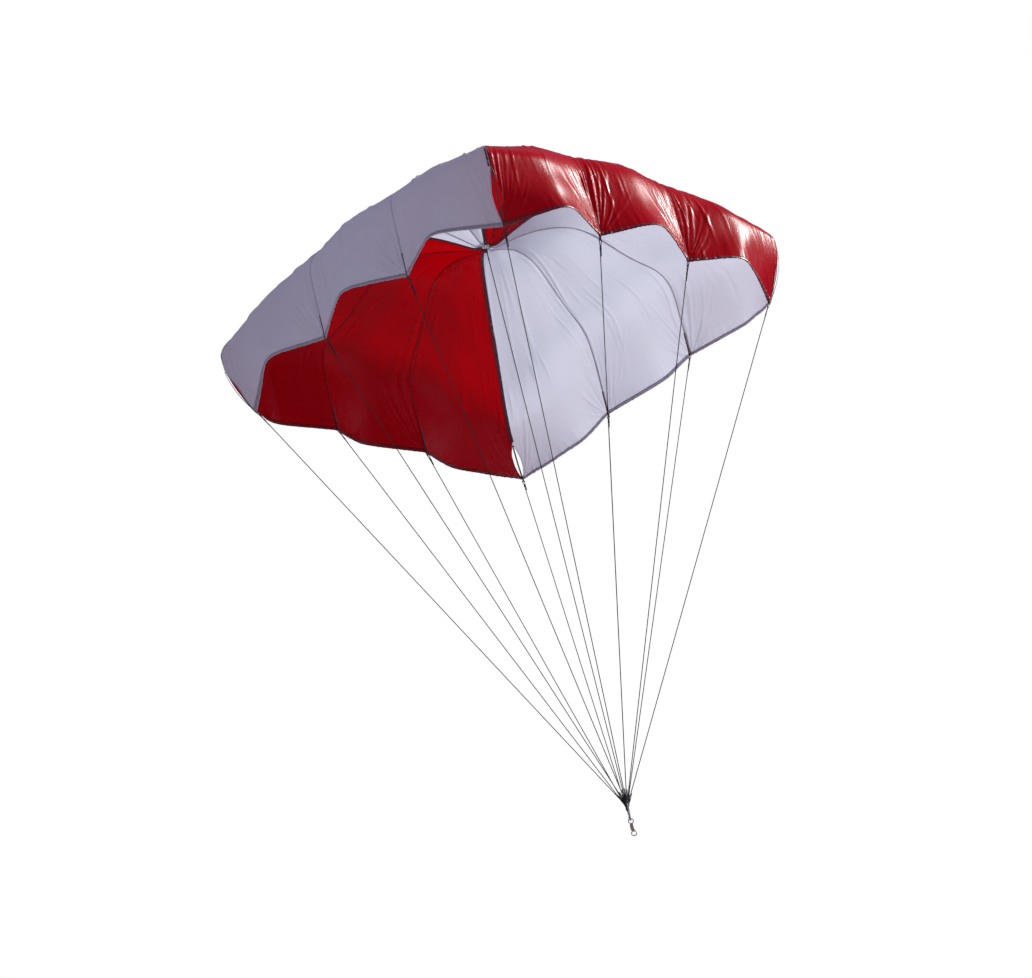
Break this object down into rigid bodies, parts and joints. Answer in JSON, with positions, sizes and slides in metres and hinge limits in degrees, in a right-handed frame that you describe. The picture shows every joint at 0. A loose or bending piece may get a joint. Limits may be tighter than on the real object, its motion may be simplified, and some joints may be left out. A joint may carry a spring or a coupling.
{
  "type": "canopy kite",
  "caption": "Square inflated canopy kite in red and white quarters, with suspension lines drawn together on a delta link and a ball-type swivel.",
  "frame": {"origin": "middle of the tow eye's hole, at the bottom of the swivel", "axes": "+Z from the tow eye up the canopy's axis to its apex; -Y to the front corner line point, +X to the right corner line point; the tow eye's hole runs along Y"},
  "size_m": [1.6314, 1.6314, 2.0129],
  "materials": {
    "red_cloth": "glossy coated ripstop nylon, translucent",
    "white_cloth": "coated ripstop nylon, translucent, slightly glossy",
    "white_hem": "folded and stitched binding, matt",
    "red_hem": "folded, stitched and puckered binding, slight sheen",
    "seam_tape": "woven tape, matt",
    "webbing": "narrow woven tape, matt",
    "line_cord": "braided cord, matt",
    "steel": "polished stainless steel",
    "plated_brass": "nickel-plated brass",
    "bronze": "plain bronze"
  },
  "bodies": {
    "barrel": {"swivel_barrel": "plated_brass", "lower_thrust_washer": "bronze", "upper_thrust_washer": "bronze"},
    "tow_eye": {"tow_eye": "steel"},
    "top_eye": {"swivel_top_eye": "steel"},
    "link": {"delta_link": "steel"},
    "sleeve": {"link_sleeve_nut": "plated_brass"},
    "canopy": {"gore_front_right_1": "red_cloth", "gore_front_right_2": "red_cloth", "gore_front_right_3": "red_cloth", "gore_back_right_1": "white_cloth", "gore_back_right_2": "white_cloth", "gore_back_right_3": "white_cloth", "gore_back_left_1": "red_cloth", "gore_back_left_2": "red_cloth", "gore_back_left_3": "red_cloth", "gore_front_left_1": "white_cloth", "gore_front_left_2": "white_cloth", "gore_front_left_3": "white_cloth", "hem_front_right": "red_hem", "hem_back_right": "white_hem", "hem_back_left": "red_hem", "hem_front_left": "white_hem", "seam_tape_front": "seam_tape", "seam_tape_right": "seam_tape", "seam_tape_back": "seam_tape", "seam_tape_left": "seam_tape", "tab_front": "webbing", "tab_front_right_1": "webbing", "tab_front_right_2": "webbing", "tab_right": "webbing", "tab_back_right_1": "webbing", "tab_back_right_2": "webbing", "tab_back": "webbing", "tab_back_left_1": "webbing", "tab_back_left_2": "webbing", "tab_left": "webbing", "tab_front_left_1": "webbing", "tab_front_left_2": "webbing", "crown_patch": "white_cloth", "line_front": "line_cord", "line_front_right_1": "line_cord", "line_front_right_2": "line_cord", "line_right": "line_cord", "line_back_right_1": "line_cord", "line_back_right_2": "line_cord", "line_back": "line_cord", "line_back_left_1": "line_cord", "line_back_left_2": "line_cord", "line_left": "line_cord", "line_front_left_1": "line_cord", "line_front_left_2": "line_cord", "tab_crown": "webbing", "line_crown": "line_cord"}
  },
  "joints": [
    {"name": "tow_eye_spin", "type": "hinge", "parent": "barrel", "child": "tow_eye", "pos_m": [0, 0, 0], "axis": [0, 0, 1], "continuous": true},
    {"name": "top_eye_spin", "type": "hinge", "parent": "barrel", "child": "top_eye", "pos_m": [0, 0, 0.038], "axis": [0, 0, 1], "continuous": true},
    {"name": "link_tip", "type": "hinge", "parent": "top_eye", "child": "link", "pos_m": [0, 0, 0.045], "axis": [1, 0, 0], "range_deg": [-30, 30], "stiffness_Nm_per_rad": 40},
    {"name": "sleeve_travel", "type": "slide", "parent": "link", "child": "sleeve", "axis": [0, 0.5476, 0.8368], "range_m": [0, 0.008]},
    {"name": "canopy_lean", "type": "hinge", "parent": "link", "child": "canopy", "pos_m": [0, 0, 0.08193], "axis": [0, 1, 0], "range_deg": [-60, 60], "stiffness_Nm_per_rad": 40}
  ]
}
